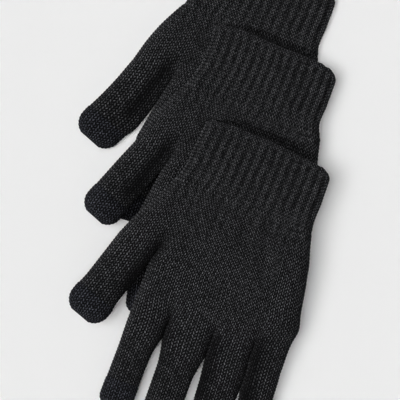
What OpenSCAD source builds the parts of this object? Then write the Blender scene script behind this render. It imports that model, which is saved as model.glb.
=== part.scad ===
// Knitted touchscreen gloves: three right-hand gloves, palm up, fanned one over another.
// Each glove is a ribbed cuff, a hand with its thumb gusset, a thumb, four fingers and
// conductive caps on the thumb and the index finger. Every piece is a hollow knitted tube.
// +Z is up and the cuffs point along +Y. The origin is on the surface that the fan rests
// on, under the middle of the lowest palm.

/* [Fabric] */
// Thickness of the knitted fabric
fabric_t = 1.8; // [1.4:0.1:2.2]
// Air left between one glove and the next one up
ply_gap = 0.3; // [0.2:0.05:1]

/* [Cuff] */
// Width of the flat cuff
cuff_w = 86; // [70:1:105]
// Length of the ribbed cuff below its overlocked edge
cuff_len = 38.8; // [28:0.2:60]
// Thickness of the flat cuff
cuff_t = 8.8; // [7.5:0.1:11]
// Length of the overlocked edge at the mouth
edge_len = 2.2; // [1.5:0.1:4]
// How far the overlocked edge stands out of the cuff
edge_swell = 0.3; // [0.1:0.1:0.8]
// Number of elastic yarns laid into each cuff
elastic_count = 9; // [4:1:9]
// Thickness of an elastic yarn
elastic_t = 0.7; // [0.5:0.1:0.9]
// Width of an elastic yarn along the cuff
elastic_w = 1.2; // [0.8:0.1:1.8]
// Air between an elastic yarn and the groove that it lies in
elastic_gap = 0.1; // [0.05:0.05:0.2]

/* [Hand] */
// Length of the hand, wrist to finger roots
hand_len = 86; // [70:1:105]
// Thickness of the flat palm
palm_t = 11; // [10.4:0.1:14]
// Distance from the glove's axis to the index side of the finger roots
index_side = 39.5; // [32:0.5:48]
// Width of the palm beyond the glove's axis, on the little finger side, at the heel
heel_side = 53.5; // [45:0.5:60]
// Width of the hand beyond the cuff, on either side of the wrist
wrist_swell = 1; // [0.5:0.5:3]
// Width of the hand beyond the fingers, on either side of their roots
root_margin = 0.8; // [0.5:0.1:2]

/* [Fingers] */
// Width of the index finger
index_w = 20.7; // [18.5:0.1:25]
// Width of the middle finger
middle_w = 22.7; // [18.5:0.1:28]
// Width of the ring finger
ring_w = 22.9; // [18.5:0.1:28]
// Width of the little finger
little_w = 19.8; // [18.5:0.1:24]
// Length of the index finger
index_len = 60; // [48:1:74]
// Length of the middle finger
middle_len = 66; // [52:1:80]
// Length of the ring finger
ring_len = 62; // [50:1:76]
// Length of the little finger
little_len = 50; // [40:1:62]
// Thickness of a flat finger
finger_t = 9; // [8.2:0.1:10]
// Widths of the three forks between the fingers, from the index side
fork_w = [5.2, 4, 2.6];
// Turn of each finger towards the little finger side, in degrees
splay = [1, 2.5, 5, 7.5];
// Radius of a finger end's corners
end_corner = 10; // [9.5:0.1:12]

/* [Thumb] */
// Width of the thumb
thumb_w = 26; // [21:0.5:32]
// Length of the thumb from its root
thumb_len = 58; // [46:1:70]
// Thickness of the flat thumb
thumb_t = 9.6; // [8.4:0.1:10.2]
// Turn of the thumb away from the fingers, in degrees
thumb_turn = 19.5; // [12:0.5:30]
// Distance of the thumb's crotch below the wrist
crotch_y = 50; // [40:1:60]
// Air between the thumb and the palm at the crotch
crotch_gap = 0.6; // [0.4:0.1:3]

/* [Conductive caps] */
// Length of the thumb's conductive cap
thumb_cap_len = 16; // [12:0.5:22]
// Length of the index finger's conductive cap
index_cap_len = 15; // [12:0.5:22]
// How far a conductive cap stands out of its finger
cap_swell = 0.4; // [0.2:0.1:0.6]

/* [Fan] */
// Sideways steps from the lower glove to the centre one, and on to the upper one
step_x = [18.5, 18.5];
// Steps towards the fingers from the lower glove to the centre one, and on to the upper one
step_y = [46, 56.5];
// Extra turn of each glove's fingers, from the lower glove up, in degrees
finger_turn = [3, 11, 0];
// Length of the index finger that is pushed back, from the lower glove up
index_tuck = [9, 0, 0];

/* [Hidden] */
$fn = 48;
HULL_FN = 32;

LOWER = 0;
CENTRE = 1;
UPPER = 2;
INDEX = 0;
MIDDLE = 1;
RING = 2;
LITTLE = 3;

YARN = "#26272a";
CAP_YARN = "#2b2c33";
ELASTIC = "#1b1b1d";

slice = 0.5;            // thickness of the slices that a hand is hulled from
cut = 0.5;              // how far a cut runs past the face that it opens
sliver = 0.01;          // a stretch shorter than this is left out
heel_run = 2.5;         // how far the heel runs past the finger roots of the glove below
thumb_base = 23;        // width of the gusset at the wrist

finger_w = [index_w, middle_w, ring_w, little_w];
full_len = [index_len, middle_len, ring_len, little_len];
longest = max(full_len);
cap_t = finger_t + 2 * cap_swell;
thumb_cap_t = thumb_t + 2 * cap_swell;

// Places of the wrists, so that the lowest palm's flat underside is centred on the origin
heel_y = -(hand_len - step_y[1] + heel_run);
function below(k) = k == LOWER ? 0 : below(k - 1) + step_y[k - 1];
function aside(k) = k == LOWER ? 0 : aside(k - 1) + step_x[k - 1];
knuckle_w = finger_w[0] + finger_w[1] + finger_w[2] + finger_w[3]
            + fork_w[0] + fork_w[1] + fork_w[2];
palm_mid_x = knuckle_w / 2 - index_side;
palm_mid_y = (heel_y - hand_len) / 2;
function wrist(k) = [aside(k) - palm_mid_x, -below(k) - palm_mid_y, 0];

// Middle of each finger's root along the knuckle line
function root_x(i) = i == INDEX ? -index_side + finger_w[INDEX] / 2
    : root_x(i - 1) + (finger_w[i - 1] + finger_w[i]) / 2 + fork_w[i - 1];
function finger_len(k, i) = full_len[i] - (i == INDEX ? index_tuck[k] : 0);

// Height of each glove's middle layer over its flat stretch
function level(k) = palm_t / 2 + k * (palm_t + ply_gap);

// Slope that brings the end of a finger of that length down to the resting surface
function to_floor(root_z, len, t) = asin(min(0.9, max(0, root_z - t / 2) / (len - t / 2)));

// Slope that carries a finger over the rounded end of a finger that runs on below its root
function over_end(under_slope, slack, run) =
    run > cap_t / 2 ? atan(tan(under_slope) + slack / (run - cap_t / 2)) : 90;

// The fingers of the centre glove come down over the ends of the lower fingers
centre_slack = level(CENTRE) - finger_t / 2 - level(LOWER) - cap_t / 2 - ply_gap;
centre_slope = min(to_floor(level(CENTRE), longest, cap_t),
                   over_end(0, centre_slack, longest - step_y[0]));

// The palm and the fingers of the upper glove come down over the fingers of the centre one
centre_top = level(CENTRE) + cap_t / 2 / cos(centre_slope) - step_y[1] * tan(centre_slope);
upper_knuckle_z = min(level(UPPER), centre_top + ply_gap + palm_t / 2);
upper_slack = (palm_t - finger_t) / 2 - cap_swell;
upper_slope = over_end(centre_slope, upper_slack, longest - step_y[1]);

function knuckle_z(k) = k == UPPER ? upper_knuckle_z : level(k);
function finger_slope(k, i) = k == LOWER ? to_floor(level(k), finger_len(k, i), cap_t)
    : k == CENTRE ? centre_slope
    : min(upper_slope, to_floor(upper_knuckle_z, finger_len(k, i), cap_t));

// Middle of the thumb's root, and its height, which falls by half as much as the palm beside it
thumb_root = [-index_side - root_margin - crotch_gap - thumb_w / 2 * cos(thumb_turn),
              -crotch_y + thumb_w / 2 * sin(thumb_turn)];
function thumb_z(k) = level(k)
    + (knuckle_z(k) - level(k)) / 2 * max(0, heel_y - thumb_root[1]) / (hand_len + heel_y);
under_thumb = level(CENTRE) + cap_t / 2 / cos(centre_slope)
              + (thumb_root[1] - heel_y - heel_run) * tan(centre_slope);
thumb_slack = thumb_z(UPPER) - thumb_cap_t / 2 - under_thumb - ply_gap;
thumb_over = index_len + thumb_root[1] - heel_y - heel_run;
function thumb_slope(k) = k == LOWER ? to_floor(level(k), thumb_len, thumb_cap_t)
    : k == CENTRE ? 0
    : atan(tan(centre_slope) * cos(thumb_turn) + max(0, thumb_slack) / thumb_over);

module on_glove(k) translate(wrist(k)) children();

// ---- shapes -------------------------------------------------------------------------

// The outline of a flattened tube
module flat_oval(w, t) {
    square([w - t, t], center = true);
    for (side = [-1, 1]) translate([side * (w - t) / 2, 0]) circle(d = t);
}

// A flattened tube's solid from y = 0 towards -Y
module flat_bar(w, t, len) rotate([90, 0, 0]) linear_extrude(len) flat_oval(w, t);

// The profile that turns into a rounded corner of a flattened tube's end
module corner_profile(corner, t) {
    translate([0, -t / 2]) square([corner - t / 2, t]);
    translate([corner - t / 2, 0]) circle(d = t);
}

// A flattened bar from y = 0 towards -Y, with a blunt, rounded end
module blunt_bar(w, t, len, corner) {
    shoulder = w / 2 - corner;
    flat_bar(w, t, len - corner);
    translate([0, -(len - corner), 0]) {
        for (side = [0, 1]) mirror([side, 0, 0]) translate([shoulder, 0, 0])
            rotate([0, 0, -90]) rotate_extrude(angle = 90) corner_profile(corner, t);
        if (shoulder > sliver)
            rotate([90, 0, -90]) linear_extrude(2 * shoulder, center = true)
                corner_profile(corner, t);
    }
}

// Corner radius that a tube of that width takes, and its inside does too
function corner_of(w) = min(end_corner, w / 2);

// The inside of a tube, from behind its root to the fabric at its end
module finger_bore(w, t, len, back) translate([0, back, 0])
    blunt_bar(w - 2 * fabric_t, t - 2 * fabric_t, len + back - fabric_t,
              corner_of(w) - fabric_t);

// ---- cuff ---------------------------------------------------------------------------

module cuff_bar(w, t, len, at) translate([0, at, 0]) mirror([0, 1, 0]) flat_bar(w, t, len);

// A ring of the cuff between two outlines, each given by how far it is set in from the cuff
module cuff_ring(outer, inner, len, at) difference() {
    cuff_bar(cuff_w - 2 * outer, cuff_t - 2 * outer, len, at);
    cuff_bar(cuff_w - 2 * inner, cuff_t - 2 * inner, len + 2 * cut, at - cut);
}

elastic_pitch = cuff_len / elastic_count;
elastic_depth = elastic_t + elastic_gap;
function elastic_y(n) = (n + 0.5) * elastic_pitch;

// The ribbed cuff, with a groove inside for each elastic yarn
module cuff(k) color(YARN) on_glove(k) translate([0, 0, level(k)]) difference() {
    cuff_ring(0, fabric_t, cuff_len, 0);
    for (n = [0 : elastic_count - 1])
        cuff_bar(cuff_w - 2 * (fabric_t - elastic_depth), cuff_t - 2 * (fabric_t - elastic_depth),
                 elastic_w + 2 * elastic_gap, elastic_y(n) - elastic_w / 2 - elastic_gap);
}

// The elastic yarns that draw the cuff in, each one a closed ring
module cuff_elastic(k) color(ELASTIC) on_glove(k) translate([0, 0, level(k)])
    for (n = [0 : elastic_count - 1])
        cuff_ring(fabric_t - elastic_t, fabric_t, elastic_w, elastic_y(n) - elastic_w / 2);

// The overlocked edge around the mouth
module cuff_edge(k) color(YARN) on_glove(k) translate([0, 0, level(k)])
    cuff_ring(-edge_swell, fabric_t, edge_len, cuff_len);

// ---- hand ---------------------------------------------------------------------------

// Two round slices across the glove, which a hull turns into a flattened section
module section(left, right, t, inset) for (x = [left + t / 2, right - t / 2])
    translate([x, 0, 0]) rotate([90, 0, 0]) cylinder(d = t - 2 * inset, h = slice, $fn = HULL_FN);

module wrist_section(k, inset) translate([0, inset > 0 ? cut : 0, level(k)])
    section(-cuff_w / 2 - wrist_swell, cuff_w / 2 + wrist_swell, cuff_t, inset);

module gusset_section(k, inset) translate([0, inset > 0 ? cut : 0, level(k)])
    section(-cuff_w / 2 - wrist_swell, -cuff_w / 2 + thumb_base, cuff_t, inset);

module heel_section(k, inset) translate([0, heel_y, level(k)])
    section(-index_side, heel_side, palm_t, inset);

module knuckle_section(k, inset) translate([0, -hand_len + slice + inset, knuckle_z(k)])
    section(-index_side - root_margin, knuckle_w - index_side + root_margin, palm_t, inset);

module at_thumb(k) translate([thumb_root[0], thumb_root[1], thumb_z(k)])
    rotate([0, 0, -thumb_turn]) children();

module thumb_section(k, inset) at_thumb(k) translate([0, inset > 0 ? -cut : slice, 0])
    section(-thumb_w / 2, thumb_w / 2, thumb_t, inset);

// The hand's outside when inset is 0, and its inside when inset is the fabric
module hand_body(k, inset) {
    hull() {
        wrist_section(k, inset);
        heel_section(k, inset);
    }
    hull() {
        heel_section(k, inset);
        knuckle_section(k, inset);
    }
    hull() {
        gusset_section(k, inset);
        thumb_section(k, inset);
    }
}

// The palm and its thumb gusset, open at the wrist, the thumb and the finger roots
module hand(k) color(YARN) on_glove(k) difference() {
    hand_body(k, 0);
    hand_body(k, fabric_t);
    for (i = [INDEX : LITTLE]) at_finger(k, i)
        translate([0, 2 * fabric_t, 0])
            flat_bar(finger_w[i] - 2 * fabric_t, finger_t - 2 * fabric_t, 4 * fabric_t);
}

// ---- fingers ------------------------------------------------------------------------

module at_finger(k, i) translate([root_x(i), -hand_len, knuckle_z(k)])
    rotate([0, 0, splay[i] + finger_turn[k]]) rotate([finger_slope(k, i), 0, 0]) children();

// Cuts away whatever reaches back past the finger roots
module past_roots(k) difference() {
    children();
    translate([-2 * cuff_w, -hand_len, -palm_t]) cube([4 * cuff_w, hand_len, 6 * palm_t]);
}

// A finger with its own closed end
module closed_finger(k, i) color(YARN) on_glove(k) past_roots(k) at_finger(k, i) difference() {
    back = finger_w[i] / 2;
    translate([0, back, 0])
        blunt_bar(finger_w[i], finger_t, finger_len(k, i) + back, corner_of(finger_w[i]));
    finger_bore(finger_w[i], finger_t, finger_len(k, i), back + cut);
}

// The index finger up to its conductive cap
module index_finger(k) color(YARN) on_glove(k) past_roots(k) at_finger(k, INDEX) difference() {
    back = index_w / 2;
    translate([0, back, 0])
        flat_bar(index_w, finger_t, finger_len(k, INDEX) - index_cap_len + back);
    finger_bore(index_w, finger_t, finger_len(k, INDEX), back + cut);
}

// A cap knitted from conductive yarn around the end of a tube
module cap(w, t, len, cap_len) difference() {
    translate([0, -(len - cap_len), 0])
        blunt_bar(w + 2 * cap_swell, t + 2 * cap_swell, cap_len, corner_of(w) + cap_swell);
    finger_bore(w, t, len, 0);
}

module index_cap(k) color(CAP_YARN) on_glove(k) at_finger(k, INDEX)
    cap(index_w, finger_t, finger_len(k, INDEX), index_cap_len);

// ---- thumb --------------------------------------------------------------------------

module sloped_thumb(k) at_thumb(k) rotate([thumb_slope(k), 0, 0]) children();

// The thumb up to its conductive cap, trimmed square to the gusset
module thumb(k) color(YARN) on_glove(k) difference() {
    back = thumb_t / 2;
    sloped_thumb(k) difference() {
        translate([0, back, 0]) flat_bar(thumb_w, thumb_t, thumb_len - thumb_cap_len + back);
        finger_bore(thumb_w, thumb_t, thumb_len, back + cut);
    }
    at_thumb(k) translate([-thumb_w, 0, -thumb_t]) cube([2 * thumb_w, thumb_w, 2 * thumb_t]);
}

module thumb_cap(k) color(CAP_YARN) on_glove(k) sloped_thumb(k)
    cap(thumb_w, thumb_t, thumb_len, thumb_cap_len);

// ---- nodes --------------------------------------------------------------------------

cuff(LOWER);  // lower_cuff
cuff_edge(LOWER);  // lower_cuff_edge
cuff_elastic(LOWER);  // lower_cuff_elastic
hand(LOWER);  // lower_hand
thumb(LOWER);  // lower_thumb
thumb_cap(LOWER);  // lower_thumb_cap
index_finger(LOWER);  // lower_index_finger
index_cap(LOWER);  // lower_index_cap
closed_finger(LOWER, MIDDLE);  // lower_middle_finger
closed_finger(LOWER, RING);  // lower_ring_finger
closed_finger(LOWER, LITTLE);  // lower_little_finger

cuff(CENTRE);  // centre_cuff
cuff_edge(CENTRE);  // centre_cuff_edge
cuff_elastic(CENTRE);  // centre_cuff_elastic
hand(CENTRE);  // centre_hand
thumb(CENTRE);  // centre_thumb
thumb_cap(CENTRE);  // centre_thumb_cap
index_finger(CENTRE);  // centre_index_finger
index_cap(CENTRE);  // centre_index_cap
closed_finger(CENTRE, MIDDLE);  // centre_middle_finger
closed_finger(CENTRE, RING);  // centre_ring_finger
closed_finger(CENTRE, LITTLE);  // centre_little_finger

cuff(UPPER);  // upper_cuff
cuff_edge(UPPER);  // upper_cuff_edge
cuff_elastic(UPPER);  // upper_cuff_elastic
hand(UPPER);  // upper_hand
thumb(UPPER);  // upper_thumb
thumb_cap(UPPER);  // upper_thumb_cap
index_finger(UPPER);  // upper_index_finger
index_cap(UPPER);  // upper_index_cap
closed_finger(UPPER, MIDDLE);  // upper_middle_finger
closed_finger(UPPER, RING);  // upper_ring_finger
closed_finger(UPPER, LITTLE);  // upper_little_finger
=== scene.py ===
import math
from types import SimpleNamespace

import bmesh
import bpy
import numpy as np
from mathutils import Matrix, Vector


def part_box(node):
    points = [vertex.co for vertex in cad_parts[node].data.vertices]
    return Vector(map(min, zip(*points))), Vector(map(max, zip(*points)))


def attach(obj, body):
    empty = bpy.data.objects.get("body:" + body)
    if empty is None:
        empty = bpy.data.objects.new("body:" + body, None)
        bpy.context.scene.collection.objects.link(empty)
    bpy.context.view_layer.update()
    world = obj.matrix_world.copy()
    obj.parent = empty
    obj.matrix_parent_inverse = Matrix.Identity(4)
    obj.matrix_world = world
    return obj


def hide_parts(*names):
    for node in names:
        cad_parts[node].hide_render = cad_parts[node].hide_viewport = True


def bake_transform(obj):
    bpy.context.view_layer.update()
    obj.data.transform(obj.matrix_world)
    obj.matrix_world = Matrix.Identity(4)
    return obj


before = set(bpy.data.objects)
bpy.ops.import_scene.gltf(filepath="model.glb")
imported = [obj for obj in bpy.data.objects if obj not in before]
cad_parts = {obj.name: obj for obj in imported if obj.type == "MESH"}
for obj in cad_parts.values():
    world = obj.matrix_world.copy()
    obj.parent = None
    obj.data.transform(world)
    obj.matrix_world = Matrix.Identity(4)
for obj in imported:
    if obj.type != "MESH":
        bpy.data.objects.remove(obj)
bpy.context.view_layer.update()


# ---- The lay of the gloves -------------------------------------------------------------
# Three gloves for the same hand lie palm up, each one over the fingers of the glove below.
# Places on a glove are in millimetres from the middle of its wrist seam: +Y runs up the cuff,
# and the thumb is on the -X side.
MM = 0.001
PALM_HALF_MODEL = 5.5       # half thicknesses of the solid palm, finger and thumb cap
FINGER_HALF_MODEL = 4.5
CAP_HALF_MODEL = 5.2
WAVES = 4                   # waves that add up to a glove's gentle waviness


def box_in_mm(node):
    """A solid node's lowest and highest corners."""
    low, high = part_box(node)
    return np.array(low) / MM, np.array(high) / MM


def lay_of(name, seed, droop, finger_turn, mouth, left, right, thumb, puckers,
           index_turn=0.0, index_shorter=0.0):
    """How one glove lies, with its place and its heights taken from the solid model."""
    cuff_low, cuff_high = box_in_mm(f"{name}_cuff")
    hand_low = box_in_mm(f"{name}_hand")[0]
    tip_low = box_in_mm(f"{name}_middle_finger")[0]
    cap_low = box_in_mm(f"{name}_thumb_cap")[0]
    level = (cuff_low[2] + cuff_high[2]) / 2
    return SimpleNamespace(
        name=name, droop=droop, mouth=mouth, left=left, right=right, puckers=puckers,
        thumb=SimpleNamespace(**thumb), finger_turn=finger_turn, index_turn=index_turn,
        index_shorter=index_shorter, level=level,
        wrist=np.array([(cuff_low[0] + cuff_high[0]) / 2, cuff_low[1], 0]),
        hand_length=cuff_low[1] - hand_low[1],
        knuckle_drop=level - hand_low[2] - PALM_HALF_MODEL,
        finger_reach=hand_low[1] - tip_low[1],
        finger_drop=level - tip_low[2] - FINGER_HALF_MODEL,
        thumb_drop=level - cap_low[2] - CAP_HALF_MODEL,
        waves=np.random.default_rng(seed).uniform(0, 2 * math.pi, (WAVES, 2)))


# The mouth is given at eight places across, as its distance from the wrist seam. The left
# and right sides are given at the mouth, twice down the cuff, at the wrist, and three times
# down the hand. A thumb's sides are given at five places down from its root, measured from
# the line through the crotch.
MOUTH_AT = (-41, -29, -12, 5, 18, 32, 39, 43)
CUFF_AT = (1.0, 0.55, 0.15, 0)      # shares of the cuff's length
HAND_AT = (0, 8, 18, 28)            # below the wrist seam
AT_WRIST = 3                        # which of a side's values is the one at the wrist
THUMB_AT = (0, 20, 34, 41, 50)
# The droop is how far a glove's rims hang down. Its fingers turn towards the little finger's
# side, and its thumb away from it, in degrees. The index finger may turn further and be
# shorter. A pucker runs from one place to another, and has a half width and a depth.
gloves = [
    lay_of("lower", seed=11, droop=0.0, finger_turn=3,
           mouth=(40.3, 43, 43.2, 43, 42.4, 41, 39.2, 35.8),
           left=(-38.5, -38.5, -41.0, -43.6, -47.8, -52.4, -55.9),
           right=(42.5, 43.0, 43.4, 45.5, 47.4, 50.6, 53.6),
           thumb=dict(crotch=(-34.6, -52.0), turn=19.5, length=55.0,
                      left=(-26.6, -26.4, -27.2, -27.9, -27.9), right=(0, 2.3, 2.4, 0.4, -0.3)),
           puckers=[(-20, -5, -28, -62, 5, 2.4), (12, -4, 20, -34, 5, 0.9)]),
    lay_of("centre", seed=23, droop=8.0, finger_turn=11, index_turn=3.0, index_shorter=3.5,
           mouth=(39.5, 43.2, 43.4, 42.9, 43.1, 42.2, 40.0, 35.8),
           left=(-38.5, -37.3, -39.5, -42.0, -46.3, -50.6, -53.8),
           right=(42.0, 42.5, 43.4, 46.5, 48.6, 51.6, 54.2),
           thumb=dict(crotch=(-35.6, -51.4), turn=19.2, length=51.6,
                      left=(-23.4, -24.0, -24.2, -24.4, -24.2), right=(0, 0, 0, 0.4, 0.4)),
           puckers=[(-20, -14, -28, -70, 5, 2.4), (20, -6, 24, -30, 4, 0.8)]),
    lay_of("upper", seed=37, droop=5.0, finger_turn=0,
           mouth=(40.0, 43, 43.1, 43, 41.5, 40.4, 38.4, 34.6),
           left=(-39.7, -41.1, -42.5, -45.0, -48.4, -53.0, -58.2),
           right=(42.0, 42.8, 43.2, 44.5, 46.8, 50.2, 52.6),
           thumb=dict(crotch=(-40.3, -50.0), turn=17.5, length=54.6,
                      left=(-25.0, -24.5, -24.3, -24.8, -24.7), right=(0, 1.0, 0.9, 1.7, 1.6)),
           puckers=[(18, -3, 28, -40, 3.5, 2.0), (-12, -4, -16, -16, 5, 1.6),
                    (7, -9, 9, -24, 5, 1.3)]),
]

CUFF_LENGTH = 41.0          # wrist seam to the mouth, with the overlocked edge
HEEL = 32.0                 # wrist seam to the heel, from where a draped palm comes down
SOFTENING = 9.0             # run over which a drape turns from one slope to the next
SOFTENED_AT = (-1, -0.5, 0, 0.5, 1)     # where in that run to either side it is averaged
MOUTH_DROOP = 0.16          # a mouth's share of its glove's droop
LITTLE_RIM = 40.0           # where the little finger's side starts to hang down
LITTLE_RIM_RUN = 26.0       # and how far from there it hangs lowest
LITTLE_RIM_CURVE = 1.5
THUMB_RIM = 56.0            # the same on the thumb's side
THUMB_RIM_RUN = 22.0
THUMB_RIM_DROOP = 0.7
WAVE_ACROSS = (0.05, 0.022)     # radians for each millimetre, and the step to the next wave
WAVE_ALONG = (0.065, -0.011)
WAVE_FADE = 1.6             # the first wave is divided by this, and each later one by one more
WAVE_DEPTH = 0.5


def smooth(t):
    """Goes softly from 0 to 1 as t does."""
    t = np.clip(t, 0, 1)
    return t * t * (3 - 2 * t)


def mid_height(glove, x, y):
    """Height of the layer halfway through the cuff, the palm and the fingers."""
    knots = [-CUFF_LENGTH, 0, HEEL, glove.hand_length, glove.hand_length + glove.finger_reach]
    drops = [MOUTH_DROOP * glove.droop, 0, 0, glove.knuckle_drop, glove.finger_drop]
    drop = sum(np.interp(-y + s * SOFTENING, knots, drops) for s in SOFTENED_AT)
    drop = drop / len(SOFTENED_AT)
    drop = drop + glove.droop * smooth((x - LITTLE_RIM) / LITTLE_RIM_RUN) ** LITTLE_RIM_CURVE
    drop = drop + glove.droop * THUMB_RIM_DROOP * smooth((-x - THUMB_RIM) / THUMB_RIM_RUN)
    return glove.level - drop


def beside(line, x, y):
    """Each place's share of the way along a line, and its distance from the line."""
    x0, y0, x1, y1 = line
    run = np.array([x1 - x0, y1 - y0])
    t = ((x - x0) * run[0] + (y - y0) * run[1]) / (run @ run)
    near = np.clip(t, 0, 1)
    return t, np.hypot(x - x0 - near * run[0], y - y0 - near * run[1])


def pucker_depth(glove, x, y):
    """How deep the upper wall sinks at a place: a gentle waviness, and a few puckers."""
    waves = 0
    for step, (shift_x, shift_y) in enumerate(glove.waves):
        across = np.sin(x * (WAVE_ACROSS[0] + WAVE_ACROSS[1] * step) + shift_x)
        along = np.cos(y * (WAVE_ALONG[0] + WAVE_ALONG[1] * step) + shift_y)
        waves = waves + across * along / (WAVE_FADE + step)
    depth = WAVE_DEPTH * (1 + waves)
    for *line, width, deepest in glove.puckers:
        t, away = beside(line, x, y)
        depth = depth + deepest * np.exp(-(away / width) ** 2) * smooth(2 - 2 * t)
    return depth


# ---- Ribbed cuffs ----------------------------------------------------------------------
# Each cuff is a tube in 2x1 rib, two wales up and one down, drawn in by its elastic yarns.
# It is knitted on from the wrist, so its walls run on into the hand. Every stitch is a small
# raised V in the mesh, and the yarn's own texture and painted light and shade lie on top of that.
WALL = 1.8                  # thickness of the knitted fabric
FACES_PER_STITCH = 4
CUFF_WALES = 48             # stitches across the front
RIB_WALES = 3               # and in one rib
CUFF_COURSES = 18
CUFF_HALF = 4.15            # half the thickness of the flat cuff
WRIST_SWELL = 0.45          # how much more it is at the wrist
WRIST_SWELL_FADE = 2.5      # a larger number keeps the swell closer to the wrist
EDGE_LENGTH = 2.2           # the overlocked edge's part of the cuff's length
CUFF_CORNER = 6.5           # run over which the flat cuff rounds off to its side
WIDEST_CORNER = 0.44        # the most of a lobe's width that such a run takes
DEEPEST = 0.5               # the most of a tube's half thickness that a pucker takes
RIB_RISE = 0.65
RIB_SINK = 0.15             # how much lower than even the ribs lie, as a share of their rise
RIB_AT_WRIST = 0.5          # the ribs' share of their rise at the wrist
RIB_RUN = 7                 # courses from there to their full rise
CUFF_RELIEF = 0.8           # the rib's stitches stand out less than the jersey's
STITCH_RISE = 0.42
LOOP_DIP = 0.38             # half the share of its height by which a leg dips in each course
V_SLANT = 1.5               # how far a stitch's legs slant, in courses for each wale
TUCK = 0.35                 # how far inside the hand's walls a cuff's last course lies
TUCK_LENGTH = 1.0           # and how far it runs on below the wrist seam
CLOSED_GAP = 1e-6           # rows with ends closer than this are closed rings
SHORTEST = 1e-9             # keeps a direction's length from being 0
SAME_PLACE = 2e-6           # in metres: points closer than this are one
THINNEST = 1e-7             # in metres: shorter edges are dissolved
# The creases where thumb and fingers part, where shade is painted: from, to, and half width. Each
# one runs on by a share of its length at both ends, and a larger fade makes those ends shorter.
PARTINGS = ((-36, -30, -52, -84, 4.8), (-16.5, -74, -14, -128, 5.0),
            (13.2, -72, 18, -128, 6.0), (38.8, -64, 47, -128, 6.0))
PARTING_PAST = 0.1
PARTING_FADE = 3


def flow(t, knots, values):
    """A smooth line through a few values, each at its own knot."""
    knots, values = np.array(knots, float), np.array(values, float)
    slope = np.gradient(values, knots)
    t = np.clip(t, knots[0], knots[-1])
    i = np.clip(np.searchsorted(knots, t) - 1, 0, len(knots) - 2)
    run = knots[i + 1] - knots[i]
    s = (t - knots[i]) / run
    return (values[i] * (1 + 2 * s) * (1 - s) ** 2 + values[i + 1] * s * s * (3 - 2 * s)
            + slope[i] * run * s * (1 - s) ** 2 - slope[i + 1] * run * s * s * (1 - s))


def lobe(stitches, width, corner, round_left, round_right):
    """Half of a flat tube's section: the way across, and the height from 0 to 1."""
    k = np.arange(stitches * FACES_PER_STITCH + 1) / (stitches * FACES_PER_STITCH)
    quarter = math.pi / 2
    corner = np.minimum(corner, WIDEST_CORNER * width)
    left = corner * (1 + round_left * (quarter - 1))
    right = corner * (1 + round_right * (quarter - 1))
    flat = width - 2 * corner
    s = k * (left + flat + right)
    turn = np.clip(s / left, 0, 1) * quarter
    across = corner * ((1 - round_left) * turn / quarter + round_left * (1 - np.cos(turn)))
    height = 1 - round_left * (1 - np.sin(turn))
    across = across + np.clip(s - left, 0, flat)
    turn = np.clip((s - left - flat) / right, 0, 1) * quarter
    across = across + corner * ((1 - round_right) * turn / quarter + round_right * np.sin(turn))
    height = height - round_right * (1 - np.cos(turn))
    return across, height


def section(left, right, lobes, corner):
    """Places and heights along one row of lobes between two side lines. A lobe has stitches,
    a share of the width, and a left and a right side that are flat at 0 and round at 1."""
    run = right - left
    width = np.hypot(run[:, 0], run[:, 1])[:, None]
    across, height, start = [], [], 0
    for number, (stitches, share, round_left, round_right) in enumerate(lobes):
        way, rise = lobe(stitches, width * share, corner, round_left, round_right)
        skip = 1 if number else 0
        across.append((start + way)[:, skip:])
        height.append(np.broadcast_to(rise, way.shape)[:, skip:])
        start = start + width * share
    across, height = np.hstack(across), np.hstack(height)
    unit = (run / width)[:, None, :]
    return left[:, None, :] + unit * across[..., None], height


def ring(glove, flat, half, mid, front_first=True):
    """Closes a front wall and a back wall into one ring of points for each row."""
    x, y = flat[..., 0], flat[..., 1]
    sunk = np.minimum(pucker_depth(glove, x, y), half * DEEPEST)
    front = np.dstack([x, y, mid + half - sunk])
    back = np.dstack([x, y, mid - half])
    if front_first:
        return np.concatenate([front, back[:, -2::-1]], axis=1)
    return np.concatenate([back[:, :0:-1], front], axis=1)


def outward(points):
    """Outward directions over rows of points."""
    closed = np.abs(points[:, 0] - points[:, -1]).max() < CLOSED_GAP
    before = points[:, -2:-1] if closed else 2 * points[:, :1] - points[:, 1:2]
    after = points[:, 1:2] if closed else 2 * points[:, -1:] - points[:, -2:-1]
    padded = np.concatenate([before, points, after], axis=1)
    across = padded[:, 2:] - padded[:, :-2]
    along = np.gradient(points, axis=0)
    normal = np.cross(along, across)
    return normal / np.maximum(np.linalg.norm(normal, axis=2, keepdims=True), SHORTEST)


def stitch_rise(wale, course):
    """Height of the V-shaped stitches, 0 between the wales."""
    leg = np.abs(wale - np.floor(wale) - 0.5)
    crest = 0.5 - 0.5 * np.cos(4 * math.pi * leg)
    loop = 1 - LOOP_DIP + LOOP_DIP * np.cos(2 * math.pi * (course + V_SLANT * leg))
    return STITCH_RISE * crest * loop


def two_walls(surface, first, last, closed_end=False, extra=None, relief=1.0):
    """Rows of points up a tube's inside, round its near end, down its outside, and round its
    far end unless that is closed, with the wale and the course of each point."""
    courses = last - first
    inside = np.linspace(last, first, courses + 1)
    outside = np.linspace(first, last, courses * FACES_PER_STITCH + 1)
    inner, outer = surface(inside, WALL), surface(outside, 0)
    wale = np.arange(outer.shape[1])[None, :] / FACES_PER_STITCH
    rise = relief * stitch_rise(wale, outside[:, None])
    if extra is not None:
        rise = rise + extra(wale, outside[:, None])
    if closed_end:
        rise = rise * smooth(last - outside)[:, None]
    outer = outer + outward(outer) * rise[..., None]
    rows, course = [inner, outer], [inside, outside]
    if not closed_end:
        rows.append(inner[:1])
        course.append(inside[:1])
    points, course = np.concatenate(rows), np.concatenate(course)
    return points, np.broadcast_to(wale, points.shape[:2]), course[:, None] + 0 * points[..., 0]


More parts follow.
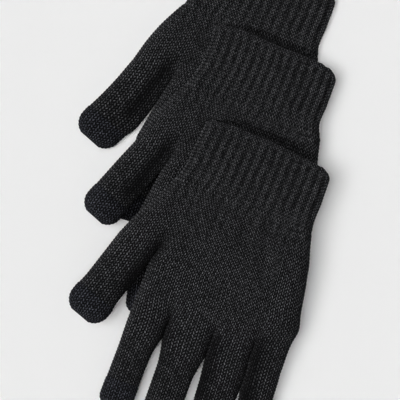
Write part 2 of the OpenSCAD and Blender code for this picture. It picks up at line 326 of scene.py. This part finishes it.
def painted_crease_shade_at(x, y):
    """How much shade is painted at a place where two tubes part, from 0 to 1."""
    crease = 0
    for *line, width in PARTINGS:
        t, away = beside(line, x, y)
        ends = (smooth((t + PARTING_PAST) * PARTING_FADE)
                * smooth((1 + PARTING_PAST - t) * PARTING_FADE))
        crease = np.maximum(crease, np.exp(-(away / width) ** 2) * ends)
    return crease


def knit(name, glove, strips, material):
    """Makes a hollow piece from strips of rows, joined where their sides meet."""
    # One flat grid for each strip, whose points then go where the rows say.
    bm = bmesh.new()
    bm.loops.layers.uv.new("stitches")
    for points, _, _ in strips:
        bmesh.ops.create_grid(bm, x_segments=points.shape[1] - 1,
                              y_segments=points.shape[0] - 1, size=1, calc_uvs=True)
    mesh = bpy.data.meshes.new(name)
    bm.to_mesh(mesh)
    bm.free()
    places = np.concatenate([points.reshape(-1, 3) for points, _, _ in strips])
    # A mask for the shade painted where the thumb and fingers part, kept on the points.
    crease = painted_crease_shade_at(places[:, 0], places[:, 1]).astype(np.float32)
    mesh.attributes.new("crease", "FLOAT", "POINT").data.foreach_set("value", crease)
    places = (places + glove.wrist) * MM
    mesh.vertices.foreach_set("co", places.astype(np.float32).ravel())
    # The stitch map: every corner of a face knows its wale and its course.
    stitches = np.concatenate([np.dstack([wale, course]).reshape(-1, 2)
                               for _, wale, course in strips])
    corners = np.empty(len(mesh.loops), np.int32)
    mesh.loops.foreach_get("vertex_index", corners)
    stitches = stitches[corners].astype(np.float32)
    mesh.uv_layers["stitches"].data.foreach_set("uv", stitches.ravel())
    # The strips and the ends of their rows are joined, and the faces turned outwards.
    bm = bmesh.new()
    bm.from_mesh(mesh)
    bmesh.ops.remove_doubles(bm, verts=bm.verts, dist=SAME_PLACE)
    bmesh.ops.dissolve_degenerate(bm, edges=bm.edges, dist=THINNEST)
    if bm.calc_volume(signed=True) < 0:
        bmesh.ops.reverse_faces(bm, faces=bm.faces)
    for face in bm.faces:
        face.smooth = True
    bm.to_mesh(mesh)
    bm.free()
    mesh.materials.append(material)
    piece = bpy.data.objects.new(name, mesh)
    bpy.context.scene.collection.objects.link(piece)
    return piece


# Light and shade painted on the yarn go from 0 in the gaps to 1 on the crests of the palest legs.
LOOP_SHADE = 0.08           # light left on a leg where it dips under the next course
LEFT_LEG_LEAD = 0.36        # painted highlight: how much earlier it comes on a left leg than on a right one
LEG_LIGHT = 0.85            # light on a right leg
LEFT_LEG_MORE = 0.3         # and how much more light is painted on a left one
CREST_CONTRAST = 1.8
STRANDS = (4.4, 3.6)        # paler strands for each wale and each course
STRAND_FROM = 0.38          # noise below this is dark between the strands
STRAND_CONTRAST = 8.0
STRAND_LEAST = 0.04
FIBRES = (34.0, 3.0)        # fibres for each wale and each course
FLECK_LEAST = 0.5           # light of the darkest leg and of the darkest fibre
FIBRE_LEAST = 0.5
FIBRE_HEIGHT = 0.3
RIB_LIGHT = 0.82            # painted light and shade of the ribs: light halfway up a rib
RIB_SWING = 0.1             # how far it swings to either side at the wrist,
RIB_SWING_STEP = 0.05       # how much more with each course from there,
RIB_SWING_MOST = 0.4        # and how far at most
TUBE_SHADE_STEP = 0.12         # painted shade: share of its full darkening that a tube gains with each course from its root
CREASE_PAINTED_SHADE = 0.85          # painted shade: how much darker the knit is painted where two tubes part
PATCH_SCALE = 45.0          # uneven patches, for each metre
PATCH_LIGHT = (0.8, 0.4)    # light of the darkest patch, and how much more the palest has
BUMP_HEIGHT = 0.0006
SPECULAR = 0.06
SHEEN = 0.015
SHEEN_ROUGHNESS = 0.5


class Shading:
    """Short ways to add and join nodes in one node tree."""

    def __init__(self, tree):
        self.tree = tree

    def add(self, kind, sockets=(), **settings):
        node = self.tree.nodes.new(kind)
        for key, value in settings.items():
            setattr(node, key, value)
        for socket, value in dict(sockets).items():
            if isinstance(value, bpy.types.NodeSocket):
                self.tree.links.new(value, node.inputs[socket])
            else:
                node.inputs[socket].default_value = value
        return node

    def math(self, operation, *values):
        return self.add("ShaderNodeMath", enumerate(values), operation=operation).outputs[0]

    def ramp(self, start, slope, value):
        """Goes up from a start with a value, as steeply as the slope says."""
        return self.math("ADD", start, self.math("MULTIPLY", value, slope))

    def darken(self, light, share, where):
        """Takes a share of the light away where a mask is 1."""
        return self.math("MULTIPLY", light,
                         self.math("SUBTRACT", 1.0, self.math("MULTIPLY", where, share)))

    def place(self, *values):
        return self.add("ShaderNodeCombineXYZ", enumerate(values)).outputs[0]

    def noise(self, place, detail, roughness=0.5, scale=1.0):
        return self.add("ShaderNodeTexNoise", {
            "Vector": place, "Scale": scale, "Detail": detail,
            "Roughness": roughness}).outputs[0]

    def blend(self, factor, low, high):
        return self.add("ShaderNodeMix", {0: factor, 6: low, 7: high},
                        data_type="RGBA").outputs[2]


def yarn_group():
    """The light and the height of knitted yarn, from the stitch map, with painted light and
    shade. Ribs, at 1, have shade painted in their grooves, and Tube Shade is how much shade is
    painted on a tube, away from its root."""
    tree = bpy.data.node_groups.new("knitted yarn", "ShaderNodeTree")
    for in_out, sockets in (("INPUT", ("Ribs", "Tube Shade")), ("OUTPUT", ("Light", "Height"))):
        for socket in sockets:
            tree.interface.new_socket(socket, in_out=in_out, socket_type="NodeSocketFloat")
    s = Shading(tree)
    ribs, tube_shade = s.add("NodeGroupInput").outputs[:2]
    stitches = s.add("ShaderNodeUVMap", uv_map="stitches").outputs[0]
    parts = s.add("ShaderNodeSeparateXYZ", {0: stitches})
    wale, course = parts.outputs[0], parts.outputs[1]
    leg = s.math("ABSOLUTE", s.math("SUBTRACT", s.math("FRACT", wale), 0.5))
    beside_leg = s.math("ABSOLUTE", s.math("SUBTRACT", s.math("MULTIPLY", leg, 4.0), 1.0))
    slanted = s.ramp(course, V_SLANT, leg)
    # Painted highlights: a left leg's comes earlier along it than a right one's.
    left_leg = s.math("LESS_THAN", s.math("FRACT", wale), 0.5)
    lit = s.ramp(slanted, LEFT_LEG_LEAD, left_leg)
    loop = s.ramp(0.5, 0.5, s.math("COSINE", s.math("MULTIPLY", lit, 2 * math.pi)))
    # Painted light on each leg's crest, and painted shade where it dips and in the gaps.
    crest = s.math("MULTIPLY", s.math("SUBTRACT", 1.0, beside_leg),
                   s.ramp(LOOP_SHADE, 1 - LOOP_SHADE, loop))
    one_leg = s.place(s.math("FLOOR", s.math("MULTIPLY", wale, 2.0)),
                      s.math("FLOOR", s.math("ADD", slanted, 0.5)))
    fleck = s.add("ShaderNodeTexWhiteNoise", {"Vector": one_leg},
                  noise_dimensions="3D").outputs[0]
    strand = s.noise(s.place(s.math("MULTIPLY", wale, STRANDS[0]),
                             s.math("MULTIPLY", slanted, STRANDS[1])), detail=1.0)
    strand = s.math("MULTIPLY", s.math("SUBTRACT", strand, STRAND_FROM), STRAND_CONTRAST)
    strand = s.math("MAXIMUM", strand, STRAND_LEAST)
    fibre = s.noise(s.place(s.math("MULTIPLY", leg, FIBRES[0]),
                            s.math("MULTIPLY", slanted, FIBRES[1]), wale),
                    detail=3.0, roughness=0.65)
    light = s.math("MULTIPLY", s.math("POWER", crest, CREST_CONTRAST), strand)
    # Painted light: left legs lighter than right ones, as lit from one side.
    light = s.math("MULTIPLY", light, s.ramp(LEG_LIGHT, LEFT_LEG_MORE, left_leg))
    light = s.math("MULTIPLY", light, s.math("ADD", FLECK_LEAST, fleck))
    light = s.math("MULTIPLY", light, s.math("ADD", FIBRE_LEAST, fibre))
    # Painted shade in the ribs' grooves, and painted light on their raised wales.
    turn = s.math("MULTIPLY", s.math("SUBTRACT", wale, 1.0), 2 * math.pi / RIB_WALES)
    swing = s.ramp(RIB_SWING, RIB_SWING_STEP, s.math("SUBTRACT", CUFF_COURSES, course))
    swing = s.math("MINIMUM", swing, RIB_SWING_MOST)
    rib = s.ramp(RIB_LIGHT, swing, s.math("COSINE", turn))
    light = s.math("MULTIPLY", light, s.ramp(s.math("SUBTRACT", 1.0, ribs), ribs, rib))
    # Painted shade: a tube is darker away from its root.
    tube_shade_share = s.math("MINIMUM", s.math("MULTIPLY", course, TUBE_SHADE_STEP), 1.0)
    light = s.darken(light, tube_shade, tube_shade_share)
    # Painted shade where the thumb and fingers part.
    crease = s.add("ShaderNodeAttribute", attribute_name="crease").outputs["Fac"]
    light = s.darken(light, CREASE_PAINTED_SHADE, crease)
    where = s.add("ShaderNodeTexCoord").outputs["Object"]
    patch = s.noise(where, detail=2.0, scale=PATCH_SCALE)
    light = s.math("MULTIPLY", light, s.ramp(*PATCH_LIGHT, patch))
    height = s.ramp(crest, FIBRE_HEIGHT, s.math("ADD", fibre, strand))
    s.add("NodeGroupOutput", {"Light": light, "Height": height})
    return tree


YARN = yarn_group()


def fabric(name, gap, yarn, roughness=0.9, depth=0.8, ribs=0.0, tube_shade=0.0):
    """A knitted finish in the colours of its gaps and its yarn, with stitches in relief."""
    material = bpy.data.materials.new(name)
    material.use_nodes = True
    material.node_tree.nodes.clear()
    s = Shading(material.node_tree)
    knitted = s.add("ShaderNodeGroup", {"Ribs": ribs, "Tube Shade": tube_shade}, node_tree=YARN)
    bump = s.add("ShaderNodeBump", {"Height": knitted.outputs["Height"], "Strength": depth,
                                    "Distance": BUMP_HEIGHT})
    shader = s.add("ShaderNodeBsdfPrincipled", {
        "Base Color": s.blend(knitted.outputs["Light"], gap, yarn), "Roughness": roughness,
        "Normal": bump.outputs[0], "Specular IOR Level": SPECULAR, "Sheen Weight": SHEEN,
        "Sheen Roughness": SHEEN_ROUGHNESS})
    s.add("ShaderNodeOutputMaterial", {"Surface": shader.outputs[0]})
    return material


GAP = (0.0012, 0.0012, 0.0014, 1)       # between the stitches, where little light gets
# Its ribs have shade painted in their grooves.
RIB_KNIT = fabric("black rib knit", gap=GAP, yarn=(0.222, 0.225, 0.24, 1), ribs=1.0)
RIB_END = 1 - EDGE_LENGTH / CUFF_LENGTH     # share of the cuff's length that is in rib


def cuff_section(glove, t, inset, sunk=0):
    """Rings of the cuff at shares t of its length, 0 at the wrist and 1 at the mouth."""
    shares = [-share for share in CUFF_AT]
    left = flow(-t, shares, glove.left[:AT_WRIST + 1])
    right = flow(-t, shares, glove.right[:AT_WRIST + 1])
    sides = (np.column_stack([left + inset, 0 * t]), np.column_stack([right - inset, 0 * t]))
    flat, height = section(*sides, [(CUFF_WALES, 1, 1, 1)], CUFF_CORNER)
    flat[..., 1] = t[:, None] * flow(flat[..., 0], MOUTH_AT, glove.mouth) - sunk
    swell = WRIST_SWELL * smooth(1 - t * WRIST_SWELL_FADE)[:, None]
    half = (CUFF_HALF + swell - inset) * height
    return ring(glove, flat, half, mid_height(glove, flat[..., 0], flat[..., 1]))


def rib_rise(wale, strength):
    """The raised and sunken wales of a 2x1 rib."""
    return RIB_RISE * strength * (np.cos(2 * math.pi * (wale - 1) / RIB_WALES) - RIB_SINK)


def cuff_ribs(wale, course):
    """The ribs' rise down the cuff, by course from the mouth."""
    grown = smooth((CUFF_COURSES - course) / RIB_RUN)
    return rib_rise(wale, RIB_AT_WRIST + (1 - RIB_AT_WRIST) * grown)


for glove in gloves:
    def cuff_surface(course, inset, glove=glove):
        t = RIB_END * (1 - course / CUFF_COURSES)
        tucked = smooth(course - CUFF_COURSES + 1)
        rows = cuff_section(glove, t, inset)
        inside = cuff_section(glove, t, inset + TUCK, sunk=TUCK_LENGTH)
        return rows + (inside - rows) * tucked[:, None, None]

    walls = two_walls(cuff_surface, 0, CUFF_COURSES, extra=cuff_ribs, relief=CUFF_RELIEF)
    cuff = knit(f"{glove.name}_cuff_rib", glove, [walls], RIB_KNIT)
    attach(cuff, f"{glove.name}_glove")
    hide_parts(f"{glove.name}_cuff")


# ---- Overlocked edges ------------------------------------------------------------------
# The mouth of each cuff is bound by an overlock seam: the raw edge is rolled between loops
# of thread that cross it one after another, so the edge is thicker than the rib and bumpy.
EDGE_ROWS = 14
EDGE_ROLL = 1.2             # half the roll's thickness
EDGE_PROUD = 0.1            # how far the roll's middle lies outside the fabric's
EDGE_MIDDLE = 0.42          # where it lies in the edge's length, and how far it reaches to
EDGE_REACH = 0.62           # either side, as shares of that length
EDGE_RIBS = 0.3             # share of the ribs' rise that shows in the edge
EDGE_COURSES = 4            # courses of the thread's stitches round the roll
LOOP_RISE = 0.22            # height of the thread's loops
OVERLOCK = fabric("overlock thread", gap=GAP, yarn=(0.2, 0.203, 0.218, 1), depth=0.7)


def rings_round_cuff(glove, shares, insets):
    """Rings at shares of a cuff's length, each at its own inset, and their wales."""
    points = np.concatenate([cuff_section(glove, np.array([share]), inset)
                             for share, inset in zip(shares, insets)])
    return points, np.arange(points.shape[1])[None, :] / FACES_PER_STITCH + 0 * points[..., 0]


for glove in gloves:
    turns = np.linspace(0, 2 * math.pi, EDGE_ROWS + 1)
    shares = [RIB_END + EDGE_LENGTH / CUFF_LENGTH * (EDGE_MIDDLE + EDGE_REACH * math.sin(turn))
              for turn in turns]
    insets = [WALL / 2 - EDGE_PROUD - EDGE_ROLL * math.cos(turn) for turn in turns]
    points, wale = rings_round_cuff(glove, shares, insets)
    loops = 0.5 + 0.5 * np.cos(2 * math.pi * wale + turns[:, None])
    rise = LOOP_RISE * loops + rib_rise(wale, EDGE_RIBS)
    centre = (points[:-1].sum(axis=0) / EDGE_ROWS)[None]
    away = points - centre
    away = away / np.linalg.norm(away, axis=2, keepdims=True)
    points = points + away * rise[..., None]
    course = turns[:, None] / (2 * math.pi) * EDGE_COURSES + 0 * wale
    edge = knit(f"{glove.name}_overlocked_edge", glove, [(points, wale, course)], OVERLOCK)
    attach(edge, f"{glove.name}_glove")
    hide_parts(f"{glove.name}_cuff_edge")


# ---- Elastic yarns ---------------------------------------------------------------------
# Nine covered rubber yarns run round each cuff, laid in behind the stitches. They draw the
# rib in, and show as fine lines inside the mouth.
ELASTIC_YARNS = 9
ELASTIC_HALF = (0.35, 0.55)     # half its thickness and half its width
ELASTIC_SUNK = 0.2              # how deep its middle lies in the fabric, from inside
ELASTIC_ROWS = 8
ELASTIC = fabric("covered elastic", gap=(0.003, 0.003, 0.0034, 1),
                 yarn=(0.02, 0.02, 0.022, 1), roughness=0.6, depth=0.3)

for glove in gloves:
    strips = []
    turns = np.linspace(0, 2 * math.pi, ELASTIC_ROWS + 1)
    insets = [WALL - ELASTIC_SUNK - ELASTIC_HALF[0] * math.cos(turn) for turn in turns]
    for number in range(ELASTIC_YARNS):
        middle = RIB_END * (number + 0.5) / ELASTIC_YARNS
        shares = [middle + ELASTIC_HALF[1] / CUFF_LENGTH * math.sin(turn) for turn in turns]
        points, wale = rings_round_cuff(glove, shares, insets)
        strips.append((points, wale, turns[:, None] + 0 * wale))
    yarns = knit(f"{glove.name}_elastic_yarns", glove, strips, ELASTIC)
    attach(yarns, f"{glove.name}_glove")
    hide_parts(f"{glove.name}_cuff_elastic")


# ---- Hands -----------------------------------------------------------------------------
# The palm, the back and the thumb gusset are one seamless tube of plain jersey. It spreads
# out from the drawn-in wrist, splits at the thumb's crotch, and ends in four finger roots,
# with the two walls pinched together at the forks.
THUMB_WALES = 11
FINGER_WALES = (10, 11, 11, 9)      # index, middle, ring and little finger
HAND_COURSES = 40
CROTCH_COURSE = 23
HAND_HALF = 5.0             # half the thickness of the flat hand
WRIST_THINNER = 0.4         # how much less it is at the wrist, and over what run
WRIST_RUN = 14.0
HAND_CORNER = 8.5           # run over which the palm and the fingers round off to their sides
HAND_CORNER_RUN = 30.0      # run from the cuff's own rounding to that
PALM_EDGE = -39.8           # index side of the palm at the knuckles
PALM_EDGE_RUN = 0.125       # share of the way down from the crotch in which the inner wall
                            # comes away from that side
ROOT_RIGHT = 59.2           # little finger's side at the knuckles
PALM_AT = (48, 58, 66, 86)  # places below the wrist seam, and the right side there
PALM_RIGHT = (57.0, 59.6, 58.6, ROOT_RIGHT)
FORKS = (-16.0, 12.4, 38.3)
FORK_START = (66, 62, 55)   # how far below the wrist each fork's fold starts
FORK_PINCH = 0.98           # how nearly the two walls meet at a fork
PINCH_FROM = 0.55           # share of the way to the crotch where its fold starts
PINCH_RUN = 0.45
GATHERS = 0.5               # depth of the folds that run down from the ribs
GATHER_RUN = 24.0
YARN_COLOUR = (0.185, 0.187, 0.200, 1)
KNIT = fabric("black knit", gap=GAP, yarn=YARN_COLOUR)


def hand_ring(glove, left, right, lobes, inset, front_first=True):
    """Rings of the hand between two side lines, with the gathers below its cuff."""
    corner_run = smooth(-left[:, 1:] / HAND_CORNER_RUN)
    corner = CUFF_CORNER + (HAND_CORNER - CUFF_CORNER) * corner_run
    flat, height = section(left, right, lobes, corner)
    x, y = flat[..., 0], flat[..., 1]
    wrist_left, wrist_right = glove.left[AT_WRIST], glove.right[AT_WRIST]
    rib = CUFF_WALES / RIB_WALES * (x - wrist_left) / (wrist_right - wrist_left)
    gathers = GATHERS * np.cos(2 * math.pi * (rib - 1 / 3)) * smooth(1 + y / GATHER_RUN)
    half = HAND_HALF - WRIST_THINNER * smooth(1 + y / WRIST_RUN) - inset
    return ring(glove, flat, (half + gathers) * height, mid_height(glove, x, y), front_first)


def thumb_line(glove, share):
    """The line from the wrist to the crotch, between the palm's wales and the thumb's."""
    crotch = np.array(glove.thumb.crotch)
    part = THUMB_WALES / (THUMB_WALES + sum(FINGER_WALES))
    wrist_x = glove.left[AT_WRIST] + (glove.right[AT_WRIST] - glove.left[AT_WRIST]) * part
    return np.column_stack([wrist_x + (crotch[0] - wrist_x) * share, crotch[1] * share])


def thumb_side(glove):
    """The outer end of the thumb's root."""
    turn = math.radians(glove.thumb.turn)
    width = -glove.thumb.left[0]
    return np.array([glove.thumb.crotch[0] - width * math.cos(turn),
                     glove.thumb.crotch[1] + width * math.sin(turn)])


def crotch_pinch(share):
    """How far the two walls come together on the line down to the crotch."""
    return smooth((share - PINCH_FROM) / PINCH_RUN)[:, None]


for glove in gloves:
    knuckles = -glove.hand_length
    outer = thumb_side(glove)

    def gusset_surface(course, inset, glove=glove, outer=outer):
        share = course / CROTCH_COURSE
        y = outer[1] * share
        left = flow(-y, [*HAND_AT, -outer[1]], [*glove.left[AT_WRIST:], outer[0]])
        left = np.column_stack([left + inset, y])
        lobes = [(THUMB_WALES, 1, 1, crotch_pinch(share))]
        return hand_ring(glove, left, thumb_line(glove, share), lobes, inset, front_first=False)

    def palm_surface(course, inset, glove=glove, knuckles=knuckles):
        crotch = glove.thumb.crotch
        share = course / CROTCH_COURSE
        below = np.clip((course - CROTCH_COURSE) / (HAND_COURSES - CROTCH_COURSE), 0, 1)
        y = np.where(share <= 1, crotch[1] * share, crotch[1] + (knuckles - crotch[1]) * below)
        left = thumb_line(glove, np.minimum(share, 1))
        edge = crotch[0] + (PALM_EDGE - crotch[0]) * below
        edge = edge + inset * smooth(below / PALM_EDGE_RUN)
        left[:, 0] = np.where(share <= 1, left[:, 0], edge)
        left[:, 1] = y
        right = flow(-y, [*HAND_AT, *PALM_AT], [*glove.right[AT_WRIST:], *PALM_RIGHT])
        right = np.column_stack([right - inset, y])
        forks = [FORK_PINCH * smooth((-y - first) / (glove.hand_length - first))[:, None]
                 for first in FORK_START]
        borders = np.array([PALM_EDGE, *FORKS, ROOT_RIGHT])
        shares = np.diff(borders) / (borders[-1] - borders[0])
        rounds = [crotch_pinch(share), *forks, 1]
        lobes = list(zip(FINGER_WALES, shares, rounds[:-1], rounds[1:]))
        return hand_ring(glove, left, right, lobes, inset)

    hand = knit(f"{glove.name}_hand_jersey", glove,
                [two_walls(gusset_surface, 0, CROTCH_COURSE),
                 two_walls(palm_surface, 0, HAND_COURSES)], KNIT)
    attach(hand, f"{glove.name}_glove")
    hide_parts(f"{glove.name}_hand")


# ---- Thumbs and fingers ----------------------------------------------------------------
# Each one is a tube knitted on at its root and closed at its end, where the walls come
# together in a short linking seam. The last courses of the thumb and of the index finger are
# in conductive yarn, which is a little thicker, so that cap stands out with a scalloped rim.
FINGERS = ("index", "middle", "ring", "little")
SPLAY = (1.0, 2.5, 5.0, 7.5)        # their turns in degrees, towards the little finger
# At each fork the finger before it and the one after it give way to the gap.
FORK_GIVE = ((3.0, 2.6), (3.1, 0.9), (1.4, 0.7))
FORK_OPENS = (6.5, 9.0, 19.0)       # from the root line to the start of each gap
FORK_RUN = 20.0                     # and from there to the gap's full width
OUTER_GIVE = (0.6, 0.6)             # what the outer fingers give way on their outer sides
OUTER_RUN = 24.0
FINGER_HALF = 4.2
THUMB_HALF = 4.5
ROOT_RUN = 14.0             # run in which a tube takes on its own turn and thickness
END_CORNER = 9.5            # rounding of a fingertip as seen from above
END_FLAT = 3.5              # half the width of the flat stretch at a fingertip
COURSE = 2.14               # height of one course
CAP_LENGTH = 16.0
CAP_ROUND = 5.0             # how much longer a cap is, measured round the fingertip
CAP_RISE = 0.35
CAP_SCALLOP = 0.3           # half the height of a scallop, in courses
CAP_RIM_STEEP = 2.5         # a larger number makes the step at its rim steeper
BEND_RUN = (1.5, 12.0)      # from the root line: the two places of a bend, worked out but not used
SLOPE_STEPS = 200           # steps along a thumb for its own slope
# The fingers and the thumbs have shade painted on, growing away from their roots.
DIGIT_KNIT = fabric("black knit of the fingers", gap=GAP, yarn=YARN_COLOUR, tube_shade=0.28)
CAP_KNIT = fabric("conductive knit", gap=(0.0012, 0.0012, 0.0016, 1),
                  yarn=(0.115, 0.12, 0.147, 1), roughness=0.75)


def digit(glove, sides, turn, length, edges, half, wales, end_drop):
    """A closed tube's surface by course from its root line, its courses, and its bend. Given
    an end_drop, it slopes to an end that far below the cuff, and else lies as the hand does."""
    root = (sides[0] + sides[1]) / 2
    run = sides[1] - sides[0]
    root_angle = math.atan2(run[1], run[0])
    turn = math.radians(turn)

    def axis(s):
        return root + s[:, None] * np.array([math.sin(turn), -math.cos(turn)])

    end_left, end_right = edges(np.array([length]))
    corner = min(END_CORNER, (end_right - end_left)[0] / 2 - END_FLAT)
    arc = length - corner + corner * math.pi / 2
    courses = round(arc / COURSE)
    steps = np.linspace(0, length, SLOPE_STEPS)
    lift = 0 * steps
    if end_drop is not None:
        field = mid_height(glove, *axis(steps).T)
        lift = field - np.interp(steps, [0, length], [field[0], glove.level - end_drop])

    def surface(course, inset):
        way = course / courses * arc
        closing = np.clip((way - length + corner) / corner, 0, math.pi / 2)
        s = np.minimum(way, length - corner) + (corner - inset) * np.sin(closing)
        in_from_side = inset + (corner - inset) * (1 - np.cos(closing))
        across = root_angle + (turn - root_angle) * smooth(s / ROOT_RUN)
        unit = np.column_stack([np.cos(across), np.sin(across)])
        left, right = edges(s)
        flat, height = section(axis(s) + unit * (left + in_from_side)[:, None],
                               axis(s) + unit * (right - in_from_side)[:, None],
                               [(wales, 1, 1, 1)], HAND_CORNER)
        thick = HAND_HALF + (half - HAND_HALF) * smooth(s / ROOT_RUN) - inset
        thick = thick * np.cos(closing)
        mid = mid_height(glove, flat[..., 0], flat[..., 1])
        mid = mid - np.interp(s, steps, lift)[:, None]
        return ring(glove, flat, thick[:, None] * height, mid)

    height = mid_height(glove, *root)
    bend = [(x, y, height) for x, y in axis(np.array(BEND_RUN))]
    return surface, courses, bend


def thumb_edges(thumb):
    """Side lines of a thumb, from its axis."""
    axis = thumb.left[0] / 2
    return lambda s: (flow(s, THUMB_AT, thumb.left) - axis, flow(s, THUMB_AT, thumb.right) - axis)


def finger_edges(root_width, n):
    """Side lines of finger n, which narrows on the sides where it parts from another."""
    def give(s, fork, side):
        if not 0 <= fork < len(FORK_OPENS):
            return OUTER_GIVE[side] * smooth(s / OUTER_RUN)
        t = np.clip((s - FORK_OPENS[fork]) / FORK_RUN, 0, 1)
        return FORK_GIVE[fork][side] * t * (2 - t)

    return lambda s: (-root_width / 2 + give(s, n - 1, 1), root_width / 2 - give(s, n, 0))


def cap_rim(first):
    """The scalloped rise of a conductive cap over the plain tube."""
    def rise(wale, course):
        scallop = CAP_SCALLOP + CAP_SCALLOP * np.cos(2 * math.pi * wale)
        return CAP_RISE * smooth((course - first - scallop) * CAP_RIM_STEEP)
    return rise


for glove in gloves:
    borders = (PALM_EDGE, *FORKS, ROOT_RIGHT)
    low_y = -glove.hand_length
    thumb = glove.thumb
    digits = [("thumb", (thumb_side(glove), np.array(thumb.crotch)), -thumb.turn, thumb.length,
               thumb_edges(thumb), THUMB_HALF, THUMB_WALES, glove.thumb_drop)]
    for n, finger in enumerate(FINGERS):
        end_node = "index_cap" if finger == "index" else f"{finger}_finger"
        end = box_in_mm(f"{glove.name}_{end_node}")[0][1]
        turn = SPLAY[n] + glove.finger_turn
        straight = (glove.wrist[1] + low_y - end - END_CORNER) / math.cos(math.radians(turn))
        if finger == "index":
            turn = turn + glove.index_turn
            straight = straight - glove.index_shorter
        sides = (np.array([borders[n], low_y]), np.array([borders[n + 1], low_y]))
        edges = finger_edges(borders[n + 1] - borders[n], n)
        digits.append((finger, sides, turn, straight + END_CORNER, edges, FINGER_HALF,
                       FINGER_WALES[n], None))
    for finger, *sizes in digits:
        surface, courses, bend = digit(glove, *sizes)
        node = "thumb" if finger == "thumb" else f"{finger}_finger"
        body = f"{glove.name}_{finger}"
        bends = finger == "thumb" or glove.name == "upper"
        capped = finger in ("thumb", "index")
        first = courses - round((CAP_LENGTH + CAP_ROUND) / COURSE) if capped else courses
        walls = two_walls(surface, 0, first, closed_end=not capped)
        tube = knit(f"{glove.name}_{finger}_tube", glove, [walls], DIGIT_KNIT)
        if bends:
            start, end = (tuple((np.array(place) + glove.wrist) * MM) for place in bend)
            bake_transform(tube)
            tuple(start)
            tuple(end)
        else:
            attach(tube, f"{glove.name}_glove")
        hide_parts(f"{glove.name}_{node}")
        if capped:
            walls = two_walls(surface, first, courses, closed_end=True, extra=cap_rim(first))
            cap = knit(f"{glove.name}_{finger}_touch_cap", glove, [walls], CAP_KNIT)
            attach(cap, body if bends else f"{glove.name}_glove")
            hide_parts(f"{glove.name}_{finger}_cap")


# ---- Table, light and camera -----------------------------------------------------------
# The gloves lie on a matt white table under an even light and a soft lamp overhead. A low
# lamp brings out the knitting and is kept off the table, which has a higher, softer one from
# the same side. The camera looks straight down, turned so that the cuffs point up right.
TABLE_COLOUR = (0.84, 0.84, 0.84, 1)
TABLE_HALF = 30             # so far to each side that no view shows the table's edge
SKY = 0.12                  # brightness of the even light
# Each lamp's share of the light on a level surface, then its lean from overhead, the way that
# it leans and its width in degrees, and what it lights. With the even light, the shares add
# up to 1 on the gloves and on the table.
LAMPS = {"top_lamp": (0.30, 0.0, 0.0, 20.0, "all"),
         "knit_lamp": (0.58, 46.0, -148.0, 12.0, "gloves"),
         "table_lamp": (0.58, 19.0, -150.0, 34.0, "table")}
SENSOR_WIDTH = 36
VIEW_WIDTH = 0.248          # width of the view on the table
VIEW_HEIGHT = 1.4           # from the table up to the camera
VIEW_TURN = 22.0
VIEW_MIDDLE = (0.0015, -0.0495)

bm = bmesh.new()
bmesh.ops.create_grid(bm, x_segments=1, y_segments=1, size=TABLE_HALF)
mesh = bpy.data.meshes.new("table_top")
bm.to_mesh(mesh)
bm.free()
table = bpy.data.objects.new("table_top", mesh)
bpy.context.scene.collection.objects.link(table)
paint = bpy.data.materials.new("matt white")
paint.use_nodes = True
paint_shader = paint.node_tree.nodes["Principled BSDF"]
paint_shader.inputs["Base Color"].default_value = TABLE_COLOUR
paint_shader.inputs["Roughness"].default_value = 1.0
paint_shader.inputs["Specular IOR Level"].default_value = 0.0
mesh.materials.append(paint)

world = bpy.data.worlds.new("studio")
bpy.context.scene.world = world
world.use_nodes = True
world.node_tree.nodes["Background"].inputs["Color"].default_value = (1, 1, 1, 1)
world.node_tree.nodes["Background"].inputs["Strength"].default_value = SKY

for name, (share, lean, side, width, lights) in LAMPS.items():
    lamp = bpy.data.lights.new(name, "SUN")
    lamp.angle = math.radians(width)
    lamp.energy = share * math.pi / math.cos(math.radians(lean))
    holder = bpy.data.objects.new(name, lamp)
    holder.rotation_euler = (0, math.radians(lean), math.radians(side))
    bpy.context.scene.collection.objects.link(holder)
    if lights != "all":
        reach = bpy.data.collections.new(f"{name}_reach")
        reach.objects.link(table)
        link_state = "INCLUDE" if lights == "table" else "EXCLUDE"
        reach.collection_objects[0].light_linking.link_state = link_state
        holder.light_linking.receiver_collection = reach

camera = bpy.data.cameras.new("camera")
camera.sensor_width = SENSOR_WIDTH
camera.lens = SENSOR_WIDTH * VIEW_HEIGHT / VIEW_WIDTH
camera_holder = bpy.data.objects.new("camera", camera)
camera_holder.location = (*VIEW_MIDDLE, VIEW_HEIGHT)
camera_holder.rotation_euler = (0, 0, math.radians(VIEW_TURN))
bpy.context.scene.collection.objects.link(camera_holder)
bpy.context.scene.camera = camera_holder
bpy.context.scene.view_settings.view_transform = "Standard"
